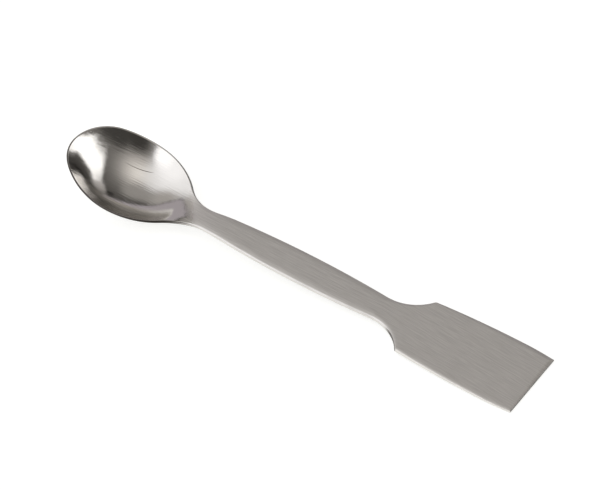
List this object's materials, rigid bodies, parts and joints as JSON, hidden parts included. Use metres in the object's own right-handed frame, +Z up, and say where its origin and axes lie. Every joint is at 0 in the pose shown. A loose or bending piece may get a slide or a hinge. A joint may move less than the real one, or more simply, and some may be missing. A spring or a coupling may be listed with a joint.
{
  "type": "lab spatula",
  "caption": "Laboratory spatula pressed from a steel strip, with a shallow oval spoon bowl, a slim handle and a flat blade with a square end.",
  "frame": {"origin": "centre of the bounding box's base, on the bench that the spatula lies on", "axes": "+X along the handle from the spoon to the blade, +Z up, out of the open bowl"},
  "size_m": [0.15, 0.0292, 0.012],
  "materials": {
    "steel": "satin stainless steel, brushed along its length, the bowl polished"
  },
  "bodies": {
    "root": {"spatula": "steel"}
  },
  "joints": []
}
